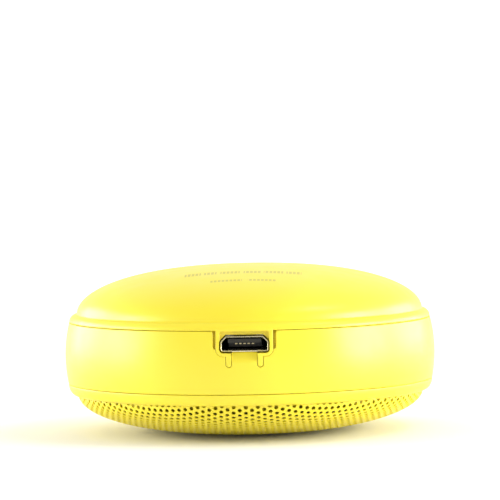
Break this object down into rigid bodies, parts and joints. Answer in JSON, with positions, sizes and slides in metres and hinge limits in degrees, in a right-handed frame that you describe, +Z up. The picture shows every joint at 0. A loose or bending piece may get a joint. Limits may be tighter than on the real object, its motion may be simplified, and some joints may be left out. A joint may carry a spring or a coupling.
{
  "type": "portable bluetooth speaker",
  "caption": "Round palm-sized wireless speaker with a domed back, a smooth side band, a charging socket, side buttons and a domed perforated grille over one driver.",
  "frame": {"origin": "centre of the flat in the middle of the grille, which the speaker rests on", "axes": "+Z up through the middle of the domed back, -Y out through the charging socket, +Y out through the power button"},
  "size_m": [0.06, 0.06, 0.0269],
  "materials": {
    "satin_plastic": "satin, soft to the touch, moulded in yellow",
    "grille_paint": "satin yellow powder coat on perforated steel",
    "grille_cloth": "fine black acoustic cloth",
    "foam": "closed-cell foam",
    "rubber": "moulded rubber",
    "treated_cloth": "resin-treated cloth",
    "pulp": "pressed paper pulp",
    "copper": "enamelled copper wire",
    "magnet": "nickel plate",
    "plated_steel": "zinc plate",
    "dark_steel": "black coated pressed steel",
    "board": "green solder mask",
    "black_plastic": "moulded",
    "white_plastic": "moulded",
    "shield": "tinned shield can",
    "cell_foil": "foil pouch",
    "red_lead": "insulated wire",
    "black_lead": "insulated wire",
    "gold": "gold plate",
    "clear_plastic": "clear moulding"
  },
  "bodies": {
    "casing": {"amplifier_chip": "black_plastic", "battery_cell": "cell_foil", "battery_connector": "white_plastic", "battery_lead_black": "black_lead", "battery_lead_red": "red_lead", "battery_pad": "foam", "bluetooth_module": "shield", "board_screw_1": "plated_steel", "board_screw_2": "plated_steel", "board_screw_3": "plated_steel", "board_screw_4": "plated_steel", "case_screw_1": "plated_steel", "case_screw_2": "plated_steel", "case_screw_3": "plated_steel", "case_screw_4": "plated_steel", "driver_frame": "dark_steel", "driver_gasket": "foam", "driver_magnet": "magnet", "driver_screw_1": "plated_steel", "driver_screw_2": "plated_steel", "driver_screw_3": "plated_steel", "driver_screw_4": "plated_steel", "driver_terminals": "board", "front_housing": "satin_plastic", "grille": "grille_paint", "grille_cloth": "grille_cloth", "light_pipe": "clear_plastic", "main_board": "board", "pole_plate": "plated_steel", "power_inductor": "black_plastic", "power_switch": "shield", "rear_shell": "satin_plastic", "side_band": "satin_plastic", "speaker_connector": "white_plastic", "speaker_lead_black": "black_lead", "speaker_lead_red": "red_lead", "spider": "treated_cloth", "status_led": "white_plastic", "surround": "rubber", "usb_contact_1": "gold", "usb_contact_2": "gold", "usb_contact_3": "gold", "usb_contact_4": "gold", "usb_contact_5": "gold", "usb_shell": "plated_steel", "usb_tongue": "black_plastic", "volume_down_switch": "shield", "volume_up_switch": "shield", "yoke_cup": "plated_steel"},
    "cone": {"cone": "pulp", "dust_cap": "pulp", "voice_coil_former": "treated_cloth", "voice_coil_winding": "copper"},
    "volume_down": {"volume_down_button": "satin_plastic", "volume_down_plunger": "black_plastic"},
    "power": {"power_button": "satin_plastic", "power_plunger": "black_plastic"},
    "volume_up": {"volume_up_button": "satin_plastic", "volume_up_plunger": "black_plastic"}
  },
  "joints": [
    {"name": "cone_slide", "type": "slide", "parent": "casing", "child": "cone", "axis": [0, 0, 1], "range_m": [-0.0006, 0.0006], "stiffness_N_per_m": 1900, "deforming": ["surround", "spider"]},
    {"name": "volume_down_press", "type": "slide", "parent": "casing", "child": "volume_down", "axis": [0.342, -0.9397, 0], "range_m": [0, 0.0004], "stiffness_N_per_m": 1500},
    {"name": "power_press", "type": "slide", "parent": "casing", "child": "power", "axis": [0, -1, 0], "range_m": [0, 0.0004], "stiffness_N_per_m": 1500},
    {"name": "volume_up_press", "type": "slide", "parent": "casing", "child": "volume_up", "axis": [-0.342, -0.9397, 0], "range_m": [0, 0.0004], "stiffness_N_per_m": 1500}
  ]
}
